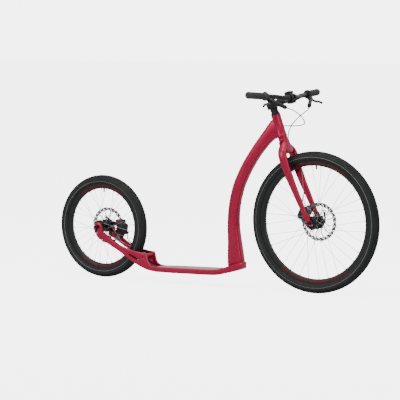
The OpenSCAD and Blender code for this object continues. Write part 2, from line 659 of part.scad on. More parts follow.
// Rear hose inside the main tube and deck and along the left stay
rear_run = [[315.9, 20.2, 751.8], [312.5, 13, 748], [304, 4, 733], [292, 0, 712], [262, 0, 672],
  [214, 0, 606], [171, 0, 533], [140, 0, 455], [122, 0, 372], [120, 0, 270], [124, 0, 200],
  [127, 0, 150], [127, 0, 122], [125, 1, 108], [118, 5, 95], [104, 12, 84], [78, 20, 76],
  [20, 27, 70],
  [-60, 31, 66], [-200, 29, 63], [-300, 27, 66], [-338, 28, 71.5], [-372, 30, 82],
  [-412, 32, 104], [-452, 33.5, 133], [-480, 34.6, 161.5], [-503, 40, 178], [-519, 44.5, 190],
  [-523.8, 46.4, 202], [-522.1, 46.6, 213.7]];
// Front hose from the left lever down the outside of the left fork blade
front_run = [[464.6, 104.2, 859.5], [469.5, 93, 855.3], [470, 83, 846], [455, 76, 833],
  [428, 71, 811], [396, 68, 778], [378, 68, 744], [374, 69, 708], [386, 70, 672],
  [406, 70, 636], [424, 70, 600], [440, 69.5, 562], [455, 69, 522], [462, 68.5, 490],
  [462, 67.5, 462], [458, 60, 436], [461, 52, 418], [462.8, 47, 404.5], [459.7, 46.6, 396.5]];
module rear_hose_loop() color(black) hose(rear_loop, 3, [0, 0, 1]);
module rear_hose() color(black) hose(rear_run, 2, [0, 1, 0]);
module front_hose() color(black) hose(front_run, 3, [1, 0, 0]);

// ---- wheels ----------------------------------------------------------------
tyre_half = tyre_w / 2;
module tyre_profile(r) {
  c = r - tyre_half;
  bead = [for (p = [[9.4, 18.2], [6.3, 16], [6.3, 10.3], [0.7, 10.3], [0.7, 7], [7, 7]])
    [r-bead_h+p.x, p.y]];
  polygon(concat(
    [for (a = [-125:12.5:125]) [c + tyre_half*cos(a), tyre_half*sin(a)]], bead,
    [for (a = [127:-12.7:-127]) [c + (tyre_half-2.7)*cos(a), (tyre_half-2.7)*sin(a)]],
    [for (i = [5:-1:0]) [bead[i].x, -bead[i].y]]));
}
module tyre(r) color(black) rotate_extrude($fn=96) tyre_profile(r);
// Where the wheels stand, about their axles, and the valve half way between two spokes
wheel_turn = -4.5;
valve_turn = 180/spokes + wheel_turn;
module inner_tube(r) color(black) {
  rotate_extrude($fn=96) difference() {
    translate([r-tyre_half+1, 0]) circle(r=18);
    translate([r-tyre_half+1, 0]) circle(r=16.8);
  }
  rotate([0, 0, -90+valve_turn]) translate([r-bead_h-34, 0, 0]) rotate([0, 90, 0])
    cylinder(r=4, h=43);
}
rim_depth = 17;
module rim_profile(bead) difference() {
  polygon([for (p = [[6, -13.5], [6, -10.6], [-1, -10.6], [-3.5, -6], [-3.5, 6], [-1, 10.6],
    [6, 10.6], [6, 13.5], [-5, 13.5], [-13, 9.5], [-rim_depth+0.5, 6], [-rim_depth+0.5, -6],
    [-13, -9.5], [-5, -13.5]]) [bead+p.x, p.y]]);
  polygon([for (p = [[-3, -11], [-5.3, -6], [-5.3, 6], [-3, 11], [-4.6, 11.5],
    [-11.8, 8], [-rim_depth+2.5, 5], [-rim_depth+2.5, -5], [-11.8, -8], [-4.6, -11.5]])
    [bead+p.x, p.y]]);
}
// Spoke i: [head, far face of its flange, elbow, rim end]. Even spokes hang on the left
// flange; the spokes of one side lead and trail in turn.
flange_hole_r = 28;
function spoke_points(i, rim, crosses, left, right) = let (
    side = i % 2 == 0 ? 1 : -1, j = floor(i / 2), lead = j % 2 == 0 ? 1 : -1,
    a = wheel_turn + j*720/spokes + (side < 0 ? 360/spokes : 0), b = a + lead*crosses*720/spokes,
    z = side > 0 ? left : right, x = flange_hole_r*cos(a), y = flange_hole_r*sin(a))
  [[x, y, z - side*lead*2.9], [x, y, z - side*lead*1.6],
   [x, y, z + side*(lead > 0 ? 3.9 : -2.4)], [rim*cos(b), rim*sin(b), side*2.5]];
module spoke_set(rim, crosses, left, right, r) for (i = [0:spokes-1]) {
  e = spoke_points(i, rim, crosses, left, right);
  d = unit(e[3] - e[2]);
  rod(e[0], e[1], 1.7);
  rod(e[1], e[2] + 0.6*unit(e[2] - e[1]), 0.85);
  rod(e[2], e[3], 0.9);
  rod(e[3] - 9*d, e[3] + 3*d, r);
}
module rim(bead, crosses, left, right) color(black) difference() {
  rotate_extrude($fn=96) rim_profile(bead);
  for (i = [0:spokes-1]) {
    e = spoke_points(i, bead-rim_depth+2, crosses, left, right);
    d = unit(e[3] - e[2]);
    rod(e[3] - 8*d, e[3] + 6*d, 2.2);
  }
  rotate([0, 0, -90+valve_turn]) translate([bead-30, 0, 0]) rotate([0, 90, 0])
    cylinder(r=4.3, h=40);
}
flange_r = 32;
flange_t = 2.8;
disc_seat_r = 25.8;
bolt_circle = 22;
// left and right are the flange planes; seat is the face that the rotor sits on
module hub(left, right, seat, out_r) color(black) difference() {
  union() {
    translate([0, 0, -out_r]) cylinder(r=16.5, h=out_r+seat);
    translate([0, 0, left]) cylinder(r=disc_seat_r, h=seat-left);
    for (z = [left, right]) {
      translate([0, 0, z-flange_t/2]) cylinder(r=flange_r, h=flange_t);
      translate([0, 0, z-5]) cylinder(r1=19, r2=24, h=5);
      translate([0, 0, z]) cylinder(r1=24, r2=19, h=5);
    }
    translate([0, 0, seat-1]) cylinder(r=17.5, h=3.4);
  }
  translate([0, 0, -100]) cylinder(r=10, h=200);
  translate([0, 0, seat-8]) cylinder(r=14.02, h=40);
  translate([0, 0, -out_r-1]) cylinder(r=14.02, h=9);
  for (a = [0:60:300]) rotate([0, 0, a]) translate([bolt_circle, 0, seat-9])
    cylinder(r=2.5, h=20);
  for (i = [0:spokes-1]) {
    e = spoke_points(i, 100, 1, left, right);
    translate([e[0].x, e[0].y, (i % 2 == 0 ? left : right) - 3]) cylinder(r=1.15, h=6, $fn=24);
  }
}
bearing_w = 7.8;
module hub_bearings(seat, out_r) color(steel) {
  translate([0, 0, seat-bearing_w]) tube(14, 6.05, bearing_w);
  translate([0, 0, -out_r+0.1]) tube(14, 6.05, bearing_w);
}
// Wavy ring, twelve curved arms and a carrier, cut from one sheet
ring_in = 73;
module rotor_outline() {
  difference() {
    circle(r=rotor_r);
    circle(r=ring_in);
    for (a = [0:30:330]) rotate(a) translate([rotor_r+13.5, 0]) circle(r=16);
    for (a = [0:30:330]) rotate(a+6) translate([ring_in-11.5, 0]) circle(r=14);
    for (a = [0:15:345]) rotate(a+15) translate([77.5, 0]) circle(r=2.3, $fn=20);
    for (a = [0:15:345]) rotate(a+11) translate([83.5, 0]) circle(r=2.3, $fn=20);
  }
  difference() {
    union() {
      circle(r=29);
      for (a = [0:60:300]) rotate(a) translate([29, 0]) circle(r=6);
      for (a = [0:30:330]) rotate(a) rotor_arm();
    }
    circle(r=17.6);
    for (a = [0:60:300]) rotate(a) translate([bolt_circle, 0]) circle(r=2.6, $fn=24);
  }
}
// One arm follows the arc from the carrier to the ring, bowed by arm_bow
arm_from = [27, 0];
arm_to = [57.8, 48.5];
arm_bow = 24;
arm_w = 3.6;
module rotor_arm() {
  along = unit(arm_to - arm_from);
  out = [-along.y, along.x];
  centre = (arm_from + arm_to)/2 - out*arm_bow;
  arc_r = norm(arm_from - centre);
  intersection() {
    difference() {
      translate(centre) circle(r=arc_r + arm_w/2);
      translate(centre) circle(r=arc_r - arm_w/2);
    }
    polygon([arm_from - 2*along, arm_to + 2*along, arm_to + 40*out, arm_from + 40*out]);
  }
}
module rotor(y) color(steel) translate([0, 0, y-rotor_t/2]) linear_extrude(rotor_t)
  rotor_outline();
module rotor_bolts(y) color(steel) for (a = [0:60:300]) rotate([0, 0, a])
  translate([bolt_circle, 0, y+rotor_t/2+0.02]) socket_bolt(4.2, 2.4, 2.45, 9.5);

front_left = 20;
front_right = -33;
front_seat = front_rotor_y - rotor_t/2 - 0.02;
front_out = 40.5;
rear_left = 20;
rear_right = -33;
rear_seat = rear_rotor_y - rotor_t/2 - 0.02;
rear_out = 40.5;
spoke_rim_front = front_bead - rim_depth + 2;
spoke_rim_rear = rear_bead - rim_depth + 2;
module front_tyre() at_front() tyre(front_r);
module rear_tyre() at_rear() tyre(rear_r);
module front_inner_tube() at_front() inner_tube(front_r);
module rear_inner_tube() at_rear() inner_tube(rear_r);
module front_rim() at_front() rim(front_bead, 3, front_left, front_right);
module rear_rim() at_rear() rim(rear_bead, 2, rear_left, rear_right);
module front_spokes() color(steel) at_front()
  spoke_set(spoke_rim_front, 3, front_left, front_right, 1.9);
module rear_spokes() color(steel) at_rear()
  spoke_set(spoke_rim_rear, 2, rear_left, rear_right, 1.9);
module front_hub() at_front() hub(front_left, front_right, front_seat, front_out);
module rear_hub() at_rear() hub(rear_left, rear_right, rear_seat, rear_out);
module front_hub_bearings() at_front() hub_bearings(front_seat, front_out);
module rear_hub_bearings() at_rear() hub_bearings(rear_seat, rear_out);
module front_rotor() at_front() rotor(front_rotor_y);
module rear_rotor() at_rear() rotor(rear_rotor_y);
module front_rotor_bolts() at_front() rotor_bolts(front_rotor_y);
module rear_rotor_bolts() at_rear() rotor_bolts(rear_rotor_y);

main_tube();
head_tube();
deck();
left_stay();
right_stay();
rear_bridge();
headset_cups();
headset_bearings();
rear_axle();
rear_caliper_adapter();
rear_caliper();
rear_caliper_bolts();
rear_hose();
rear_hose_loop();
steerer();
fork_crown();
left_fork_blade();
right_fork_blade();
crown_race();
headset_spacers();
top_cap();
stem();
faceplate();
stem_bolts();
handlebar();
left_grip();
right_grip();
bar_end_plugs();
left_lever_body();
right_lever_body();
front_axle();
front_caliper_adapter();
front_caliper();
front_caliper_bolts();
front_hose();
left_lever_blade();
right_lever_blade();
front_qr_lever();
rear_qr_lever();
front_inner_pad();
front_outer_pad();
rear_inner_pad();
rear_outer_pad();
front_tyre();
front_inner_tube();
front_rim();
front_spokes();
front_hub();
front_hub_bearings();
front_rotor();
front_rotor_bolts();
rear_tyre();
rear_inner_tube();
rear_rim();
rear_spokes();
rear_hub();
rear_hub_bearings();
rear_rotor();
rear_rotor_bolts();
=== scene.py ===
import json
import math

import bmesh
import bpy
from mathutils import Matrix, Vector


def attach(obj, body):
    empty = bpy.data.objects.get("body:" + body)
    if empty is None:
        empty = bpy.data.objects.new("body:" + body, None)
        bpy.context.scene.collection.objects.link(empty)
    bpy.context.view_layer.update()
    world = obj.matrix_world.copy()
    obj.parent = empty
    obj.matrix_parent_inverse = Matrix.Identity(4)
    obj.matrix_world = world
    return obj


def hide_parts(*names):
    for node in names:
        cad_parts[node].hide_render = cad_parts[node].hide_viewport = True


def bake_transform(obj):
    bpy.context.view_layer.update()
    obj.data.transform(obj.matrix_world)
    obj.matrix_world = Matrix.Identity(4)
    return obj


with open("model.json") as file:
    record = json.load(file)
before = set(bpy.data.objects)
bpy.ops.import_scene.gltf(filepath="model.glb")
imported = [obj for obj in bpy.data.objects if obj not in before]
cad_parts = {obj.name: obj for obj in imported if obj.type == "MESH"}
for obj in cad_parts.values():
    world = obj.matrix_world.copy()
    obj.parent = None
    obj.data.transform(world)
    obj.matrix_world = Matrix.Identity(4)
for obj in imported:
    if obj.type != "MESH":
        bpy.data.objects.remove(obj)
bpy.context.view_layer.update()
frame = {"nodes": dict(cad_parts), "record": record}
nodes = frame["nodes"]

# ---- places on the scooter, in metres --------------------------------------
FRONT_HUB = Vector((0.55675, 0, 0.3295))
REAR_HUB = Vector((-0.63325, 0, 0.253))
FRONT_TYRE_R, REAR_TYRE_R = 0.3295, 0.253
TYRE_HALF = 0.025
BEAD_DEPTH = 0.050
HOSE_R = 0.0025
BAR_SWEEP, BAR_RISE = math.radians(7.5), math.radians(3.3)


# ---- shader building blocks ------------------------------------------------
def open_material(name):
    """A new material with its shader ready: returns (material, tree, shader)."""
    mat = bpy.data.materials.new(name)
    mat.use_nodes = True
    tree = mat.node_tree
    return mat, tree, tree.nodes["Principled BSDF"]


def node(tree, kind, **settings):
    made = tree.nodes.new(kind)
    for key, value in settings.items():
        setattr(made, key, value)
    return made


def maths(tree, operation, a, b=None, clamp=False):
    made = node(tree, "ShaderNodeMath", operation=operation, use_clamp=clamp)
    for socket, value in zip(made.inputs, (a, b)):
        if value is None:
            continue
        if isinstance(value, (int, float)):
            socket.default_value = value
        else:
            tree.links.new(value, socket)
    return made.outputs[0]


def mixed(tree, factor, a, b):
    """Colour a where factor is 0 and b where it is 1."""
    made = node(tree, "ShaderNodeMix", data_type="RGBA")
    for socket, value in zip((made.inputs["Factor"], made.inputs[6], made.inputs[7]),
                             (factor, a, b)):
        if isinstance(value, (int, float)):
            socket.default_value = value
        elif isinstance(value, tuple):
            socket.default_value = (*value, 1.0)
        else:
            tree.links.new(value, socket)
    return made.outputs[2]


def bumped(tree, shader, height, distance, strength=1.0):
    bump = node(tree, "ShaderNodeBump")
    bump.inputs["Distance"].default_value = distance
    bump.inputs["Strength"].default_value = strength
    tree.links.new(height, bump.inputs["Height"])
    tree.links.new(bump.outputs["Normal"], shader.inputs["Normal"])


def new_group(name, ins, outs):
    """A shader group: ins is [(name, kind, default)], outs is [(name, kind)]."""
    tree = bpy.data.node_groups.new(name, "ShaderNodeTree")
    for label, kind, value in ins:
        socket = tree.interface.new_socket(label, in_out="INPUT", socket_type=kind)
        socket.default_value = value
    for label, kind in outs:
        tree.interface.new_socket(label, in_out="OUTPUT", socket_type=kind)
    return tree, tree.nodes.new("NodeGroupInput"), tree.nodes.new("NodeGroupOutput")


FLOAT, VECTOR = "NodeSocketFloat", "NodeSocketVector"


def mottle_group():
    """Broad and fine unevenness, as handling and dust leave on any finish."""
    tree, ins, outs = new_group(
        "handled_mottle",
        [("Scale", FLOAT, 40.0), ("Low", FLOAT, 0.3), ("High", FLOAT, 0.4)],
        [("Value", FLOAT), ("Mask", FLOAT), ("Grain", FLOAT)])
    link = tree.links.new
    coords = node(tree, "ShaderNodeTexCoord")
    broad = node(tree, "ShaderNodeTexNoise")
    broad.inputs["Detail"].default_value = 4.0
    link(coords.outputs["Object"], broad.inputs["Vector"])
    link(ins.outputs["Scale"], broad.inputs["Scale"])
    fine = node(tree, "ShaderNodeTexNoise")
    fine.inputs["Detail"].default_value = 2.0
    link(coords.outputs["Object"], fine.inputs["Vector"])
    link(maths(tree, "MULTIPLY", ins.outputs["Scale"], 22.0), fine.inputs["Scale"])
    spread = node(tree, "ShaderNodeMapRange")
    spread.inputs["From Min"].default_value = 0.3
    spread.inputs["From Max"].default_value = 0.7
    link(broad.outputs["Fac"], spread.inputs["Value"])
    link(ins.outputs["Low"], spread.inputs["To Min"])
    link(ins.outputs["High"], spread.inputs["To Max"])
    link(spread.outputs["Result"], outs.inputs["Value"])
    link(broad.outputs["Fac"], outs.inputs["Mask"])
    link(fine.outputs["Fac"], outs.inputs["Grain"])
    return tree


def polar_group():
    """Distance from a wheel's axle and the angle round it."""
    tree, ins, outs = new_group(
        "round_the_axle", [("Hub", VECTOR, (0, 0, 0))],
        [("Radius", FLOAT), ("Turn", FLOAT), ("Side", FLOAT)])
    link = tree.links.new
    coords = node(tree, "ShaderNodeTexCoord")
    off = node(tree, "ShaderNodeVectorMath", operation="SUBTRACT")
    link(coords.outputs["Object"], off.inputs[0])
    link(ins.outputs["Hub"], off.inputs[1])
    part = node(tree, "ShaderNodeSeparateXYZ")
    link(off.outputs["Vector"], part.inputs[0])
    square = maths(tree, "ADD", maths(tree, "MULTIPLY", part.outputs["X"], part.outputs["X"]),
                   maths(tree, "MULTIPLY", part.outputs["Z"], part.outputs["Z"]))
    link(maths(tree, "SQRT", square), outs.inputs["Radius"])
    link(maths(tree, "ARCTAN2", part.outputs["X"], part.outputs["Z"]), outs.inputs["Turn"])
    link(part.outputs["Y"], outs.inputs["Side"])
    return tree


def band_group():
    """1 between Inner and Outer, with soft edges, and 0 elsewhere."""
    tree, ins, outs = new_group(
        "band_between",
        [("Value", FLOAT, 0.0), ("Inner", FLOAT, 0.0), ("Outer", FLOAT, 1.0), ("Soft", FLOAT, 0.001)],
        [("Mask", FLOAT)])
    up = maths(tree, "DIVIDE", maths(tree, "SUBTRACT", ins.outputs["Value"], ins.outputs["Inner"]),
               ins.outputs["Soft"], clamp=True)
    down = maths(tree, "DIVIDE", maths(tree, "SUBTRACT", ins.outputs["Outer"], ins.outputs["Value"]),
                 ins.outputs["Soft"], clamp=True)
    tree.links.new(maths(tree, "MULTIPLY", up, down), outs.inputs["Mask"])
    return tree


MOTTLE, POLAR, BAND = mottle_group(), polar_group(), band_group()


def use_group(tree, group, **values):
    made = node(tree, "ShaderNodeGroup", node_tree=group)
    for label, value in values.items():
        if isinstance(value, (int, float, tuple)):
            made.inputs[label].default_value = value
        elif isinstance(value, Vector):
            made.inputs[label].default_value = tuple(value)
        else:
            tree.links.new(value, made.inputs[label])
    return made


# ---- finishes --------------------------------------------------------------
def frame_paint():
    """Crimson pearl paint under a clear coat."""
    mat, tree, shader = open_material("crimson_pearl_paint")
    shader.inputs["Metallic"].default_value = 0.7
    shader.inputs["Coat Roughness"].default_value = 0.09
    shader.inputs["Coat Weight"].default_value = 0.4
    mottle = use_group(tree, MOTTLE, Scale=9.0, Low=0.26, High=0.34)
    flake = node(tree, "ShaderNodeTexVoronoi")
    flake.inputs["Scale"].default_value = 2600.0
    coords = node(tree, "ShaderNodeTexCoord")
    tree.links.new(coords.outputs["Object"], flake.inputs["Vector"])
    sparkle = maths(tree, "MULTIPLY", flake.outputs["Color"], 0.22)
    colour = mixed(tree, sparkle, (0.42, 0.0008, 0.042), (0.58, 0.002, 0.075))
    faded = mixed(tree, maths(tree, "MULTIPLY", mottle.outputs["Mask"], 0.25), colour,
                  (0.36, 0.0006, 0.034))
    tree.links.new(faded, shader.inputs["Base Color"])
    tree.links.new(mottle.outputs["Value"], shader.inputs["Roughness"])
    bumped(tree, shader, mottle.outputs["Grain"], 0.00004, 0.3)
    return mat


def black_finish(name, colour, rough, metallic=0.0, scale=30.0, bump=0.00005, dust=0.12):
    """A black part: anodised, cast or moulded by its numbers."""
    mat, tree, shader = open_material(name)
    shader.inputs["Metallic"].default_value = metallic
    mottle = use_group(tree, MOTTLE, Scale=scale, Low=rough - 0.05, High=rough + 0.06)
    lighter = tuple(min(1.0, c * 2.2 + 0.01) for c in colour)
    tree.links.new(mixed(tree, maths(tree, "MULTIPLY", mottle.outputs["Mask"], dust * 2),
                         colour, lighter), shader.inputs["Base Color"])
    tree.links.new(mottle.outputs["Value"], shader.inputs["Roughness"])
    bumped(tree, shader, mottle.outputs["Grain"], bump, 0.5)
    return mat


def bright_steel(name, colour=(0.62, 0.63, 0.65), rough=0.3, scale=60.0):
    mat, tree, shader = open_material(name)
    shader.inputs["Metallic"].default_value = 1.0
    mottle = use_group(tree, MOTTLE, Scale=scale, Low=rough - 0.08, High=rough + 0.08)
    darker = tuple(c * 0.72 for c in colour)
    tree.links.new(mixed(tree, mottle.outputs["Mask"], colour, darker),
                   shader.inputs["Base Color"])
    tree.links.new(mottle.outputs["Value"], shader.inputs["Roughness"])
    bumped(tree, shader, mottle.outputs["Grain"], 0.00003, 0.4)
    return mat


def tyre_rubber(name, hub, stripe):
    """Black rubber, unevenly dusty, with a pale reflective stripe."""
    mat, tree, shader = open_material(name)
    polar = use_group(tree, POLAR, Hub=hub)
    mottle = use_group(tree, MOTTLE, Scale=26.0, Low=0.62, High=0.78)
    rubber = mixed(tree, mottle.outputs["Mask"], (0.0035, 0.0052, 0.0048), (0.008, 0.0105, 0.0098))
    line = use_group(tree, BAND, Value=polar.outputs["Radius"], Inner=stripe - 0.0009,
                     Outer=stripe + 0.0009, Soft=0.0004)
    tree.links.new(mixed(tree, line.outputs["Mask"], rubber, (0.30, 0.31, 0.31)),
                   shader.inputs["Base Color"])
    tree.links.new(mottle.outputs["Value"], shader.inputs["Roughness"])
    ribs = maths(tree, "SINE", maths(tree, "MULTIPLY", polar.outputs["Radius"], 2800.0))
    both = maths(tree, "ADD", maths(tree, "MULTIPLY", ribs, 0.25), mottle.outputs["Grain"])
    bumped(tree, shader, both, 0.00025, 0.5)
    return mat


def rim_black(name, hub, inner, outer):
    """Satin black rim with crimson printed dashes near its top and bottom."""
    mat, tree, shader = open_material(name)
    shader.inputs["Metallic"].default_value = 0.3
    polar = use_group(tree, POLAR, Hub=hub)
    mottle = use_group(tree, MOTTLE, Scale=22.0, Low=0.30, High=0.42)
    black = mixed(tree, mottle.outputs["Mask"], (0.006, 0.006, 0.0065), (0.014, 0.014, 0.0145))
    depth = outer - inner
    ring = use_group(tree, BAND, Value=polar.outputs["Radius"], Inner=inner + 0.18 * depth,
                     Outer=outer - 0.12 * depth, Soft=0.0006)
    # printed stretches sit within 38 degrees of the top and of the bottom
    fold = maths(tree, "ABSOLUTE", maths(tree, "SINE", polar.outputs["Turn"]))
    arc = use_group(tree, BAND, Value=fold, Inner=-1.0, Outer=0.62, Soft=0.01)
    dash = maths(tree, "SINE", maths(tree, "MULTIPLY", polar.outputs["Turn"], 46.0))
    lean = maths(tree, "ADD", dash, maths(tree, "MULTIPLY", maths(
        tree, "SINE", maths(tree, "MULTIPLY", polar.outputs["Turn"], 17.0)), 0.5))
    blocks = maths(tree, "GREATER_THAN", lean, -0.9)
    mask = maths(tree, "MULTIPLY", maths(tree, "MULTIPLY", ring.outputs["Mask"],
                                         arc.outputs["Mask"]), blocks)
    tree.links.new(mixed(tree, mask, black, (0.075, 0.004, 0.008)), shader.inputs["Base Color"])
    tree.links.new(mottle.outputs["Value"], shader.inputs["Roughness"])
    bumped(tree, shader, mottle.outputs["Grain"], 0.00003, 0.3)
    return mat


def rotor_steel(name, hub):
    """Ground steel ring, with its arms and carrier coated black."""
    mat, tree, shader = open_material(name)
    polar = use_group(tree, POLAR, Hub=hub)
    mottle = use_group(tree, MOTTLE, Scale=50.0, Low=0.26, High=0.40)
    grind = maths(tree, "SINE", maths(tree, "MULTIPLY", polar.outputs["Radius"], 16000.0))
    ring = use_group(tree, BAND, Value=polar.outputs["Radius"], Inner=0.0725, Outer=0.2,
                     Soft=0.0012)
    shade = mixed(tree, mottle.outputs["Mask"], (0.20, 0.20, 0.205), (0.13, 0.13, 0.132))
    tree.links.new(mixed(tree, ring.outputs["Mask"], (0.018, 0.018, 0.019), shade),
                   shader.inputs["Base Color"])
    tree.links.new(maths(tree, "MULTIPLY", ring.outputs["Mask"], 0.9), shader.inputs["Metallic"])
    tree.links.new(mottle.outputs["Value"], shader.inputs["Roughness"])
    bumped(tree, shader, maths(tree, "ADD", maths(tree, "MULTIPLY", grind, 0.3),
                               mottle.outputs["Grain"]), 0.00003, 0.5)
    return mat


def cup_finish():
    """Black above and painted like the frame below, as the two headset cups are."""
    mat, tree, shader = open_material("headset_cup_finish")
    mottle = use_group(tree, MOTTLE, Scale=40.0, Low=0.28, High=0.36)
    coords = node(tree, "ShaderNodeTexCoord")
    part = node(tree, "ShaderNodeSeparateXYZ")
    tree.links.new(coords.outputs["Object"], part.inputs[0])
    between_cups = 0.77
    upper = maths(tree, "GREATER_THAN", part.outputs["Z"], between_cups)
    tree.links.new(mixed(tree, upper, (0.40, 0.0008, 0.027), (0.012, 0.012, 0.013)),
                   shader.inputs["Base Color"])
    shader.inputs["Metallic"].default_value = 0.6
    tree.links.new(mottle.outputs["Value"], shader.inputs["Roughness"])
    bumped(tree, shader, mottle.outputs["Grain"], 0.00003, 0.3)
    return mat


PAINT = frame_paint()
CUPS = cup_finish()
ANODISED = black_finish("black_anodised", (0.012, 0.012, 0.013), 0.34, 0.55, 40.0)
CAST_BLACK = black_finish("black_cast_body", (0.010, 0.010, 0.011), 0.42, 0.3, 60.0, 0.00008)
MOULDED = black_finish("black_moulded", (0.014, 0.014, 0.015), 0.5, 0.0, 50.0, 0.00006)
HOSE_JACKET = black_finish("hose_jacket", (0.004, 0.004, 0.0045), 0.38, 0.0, 80.0, 0.00003)
GRIP_RUBBER = black_finish("grip_rubber", (0.040, 0.040, 0.038), 0.72, 0.0, 45.0, 0.00012, 0.2)
TUBE_RUBBER = black_finish("tube_rubber", (0.014, 0.014, 0.014), 0.6, 0.0, 45.0)
STEEL = bright_steel("machined_steel")
BLACK_STEEL = bright_steel("blackened_steel", (0.035, 0.035, 0.037), 0.38)
SPOKE_WIRE = bright_steel("spoke_wire", (0.36, 0.37, 0.38), 0.32, 140.0)
PAD_BACK = bright_steel("pad_backing", (0.40, 0.38, 0.35), 0.45, 90.0)
FRONT_RUBBER = tyre_rubber("front_tyre_rubber", FRONT_HUB, 0.303)
REAR_RUBBER = tyre_rubber("rear_tyre_rubber", REAR_HUB, 0.222)
FRONT_RIM_BLACK = rim_black("front_rim_black", FRONT_HUB, 0.263, 0.2855)
REAR_RIM_BLACK = rim_black("rear_rim_black", REAR_HUB, 0.186, 0.209)
FRONT_DISC = rotor_steel("front_rotor_steel", FRONT_HUB)
REAR_DISC = rotor_steel("rear_rotor_steel", REAR_HUB)

FINISH_OF = {
    PAINT: ["main_tube", "head_tube", "deck", "left_stay", "right_stay", "rear_bridge",
            "fork_crown", "left_fork_blade", "right_fork_blade", "crown_race"],
    CUPS: ["headset_cups"],
    ANODISED: ["headset_spacers", "top_cap", "stem", "faceplate", "handlebar",
               "front_hub", "rear_hub", "left_lever_blade", "right_lever_blade",
               "front_qr_lever", "rear_qr_lever"],
    CAST_BLACK: ["left_lever_body", "right_lever_body", "front_caliper", "rear_caliper",
                 "front_caliper_adapter", "rear_caliper_adapter"],
    MOULDED: ["bar_end_plugs"],
    HOSE_JACKET: ["rear_hose", "rear_hose_loop", "front_hose"],
    GRIP_RUBBER: ["left_grip", "right_grip"],
    TUBE_RUBBER: ["front_inner_tube", "rear_inner_tube"],
    STEEL: ["headset_bearings", "steerer", "front_hub_bearings",
            "rear_hub_bearings"],
    BLACK_STEEL: ["rear_axle", "front_axle", "rear_caliper_bolts", "stem_bolts",
                  "front_caliper_bolts", "front_rotor_bolts", "rear_rotor_bolts"],
    SPOKE_WIRE: ["front_spokes", "rear_spokes"],
    PAD_BACK: ["front_inner_pad", "front_outer_pad", "rear_inner_pad", "rear_outer_pad"],
    FRONT_RUBBER: ["front_tyre"], REAR_RUBBER: ["rear_tyre"],
    FRONT_RIM_BLACK: ["front_rim"], REAR_RIM_BLACK: ["rear_rim"],
    FRONT_DISC: ["front_rotor"], REAR_DISC: ["rear_rotor"],
}
for finish, names in FINISH_OF.items():
    for name in names:
        mesh = nodes[name].data
        mesh.materials.clear()
        mesh.materials.append(finish)
FINISH_FOR = {name: finish for finish, names in FINISH_OF.items() for name in names}
BODY_OF = {name: body for body, names in frame["record"]["behaviour"]["bodies"].items()
           for name in names}


# ---- mesh helpers ----------------------------------------------------------
def shaded(mesh, degrees=34):
    mesh.polygons.foreach_set("use_smooth", [True] * len(mesh.polygons))
    mesh.set_sharp_from_angle(angle=math.radians(degrees))
    mesh.update()


def placed(name, mesh, finish, body=None):
    mesh.materials.clear()
    mesh.materials.append(finish)
    shaded(mesh)
    obj = bpy.data.objects.new(name, mesh)
    bpy.context.collection.objects.link(obj)
    if body:
        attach(obj, body)
    return obj


def baked(obj):
    """The object's mesh with its modifiers applied, as plain data."""
    graph = bpy.context.evaluated_depsgraph_get()
    return bpy.data.meshes.new_from_object(obj.evaluated_get(graph), depsgraph=graph)


def eased(name, width, segments=2, degrees=35):
    """A copy of a CAD node with its sharp edges rounded off, as on the real part."""
    build = bmesh.new()
    build.from_mesh(nodes[name].data)
    bmesh.ops.remove_doubles(build, verts=build.verts, dist=0.00002)
    bmesh.ops.dissolve_limit(build, angle_limit=math.radians(1.2), verts=build.verts,
                             edges=build.edges)
    mesh = bpy.data.meshes.new(name + "_eased")
    build.to_mesh(mesh)
    build.free()
    maker = bpy.data.objects.new(name + "_maker", mesh)
    bpy.context.collection.objects.link(maker)
    ease = maker.modifiers.new("ease", "BEVEL")
    ease.width, ease.segments = width, segments
    ease.limit_method, ease.angle_limit = "ANGLE", math.radians(degrees)
    ease.use_clamp_overlap = True
    final = baked(maker)
    bpy.data.objects.remove(maker)
    final.name = name + "_soft"
    obj = placed(name + "_soft", final, FINISH_FOR[name], BODY_OF[name])
    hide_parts(name)
    return obj


def catmull(points, steps):
    """A smooth curve through the points."""
    out = []
    last = len(points) - 1
    for i in range(last):
        a, b, c, d = (Vector(points[max(i - 1, 0)]), Vector(points[i]), Vector(points[i + 1]),
                      Vector(points[min(i + 2, last)]))
        for k in range(steps):
            t = k / steps
            out.append(0.5 * (2 * b + (c - a) * t + (2 * a - 5 * b + 4 * c - d) * t * t
                              + (3 * b - a - 3 * c + d) * t ** 3))
    out.append(Vector(points[last]))
    return out


def closed_skin(name, rings):
    """A closed mesh over rings of equal length, capped at both ends."""
    build = bmesh.new()
    rows = [[build.verts.new(p) for p in ring] for ring in rings]
    count = len(rows[0])
    for low, high in zip(rows, rows[1:]):
        for i in range(count):
            j = (i + 1) % count
            build.faces.new((low[i], low[j], high[j], high[i]))
    build.faces.new(rows[0][::-1])
    build.faces.new(rows[-1])
    bmesh.ops.recalc_face_normals(build, faces=build.faces)
    mesh = bpy.data.meshes.new(name)
    build.to_mesh(mesh)
    build.free()
    return mesh


def lathe(name, profile, place, count):
    """Turns a closed profile of (along, radius) points about the place's Z axis."""
    build = bmesh.new()
    rows = []
    for k in range(count):
        turn = 2 * math.pi * k / count
        rows.append([build.verts.new(place @ Vector((r * math.cos(turn), r * math.sin(turn), z)))
                     for z, r in profile])
    size = len(profile)
    for k in range(count):
        one, two = rows[k], rows[(k + 1) % count]
        for i in range(size):
            j = (i + 1) % size
            build.faces.new((one[i], two[i], two[j], one[j]))
    bmesh.ops.recalc_face_normals(build, faces=build.faces)
    mesh = bpy.data.meshes.new(name)
    build.to_mesh(mesh)
    build.free()
    return mesh


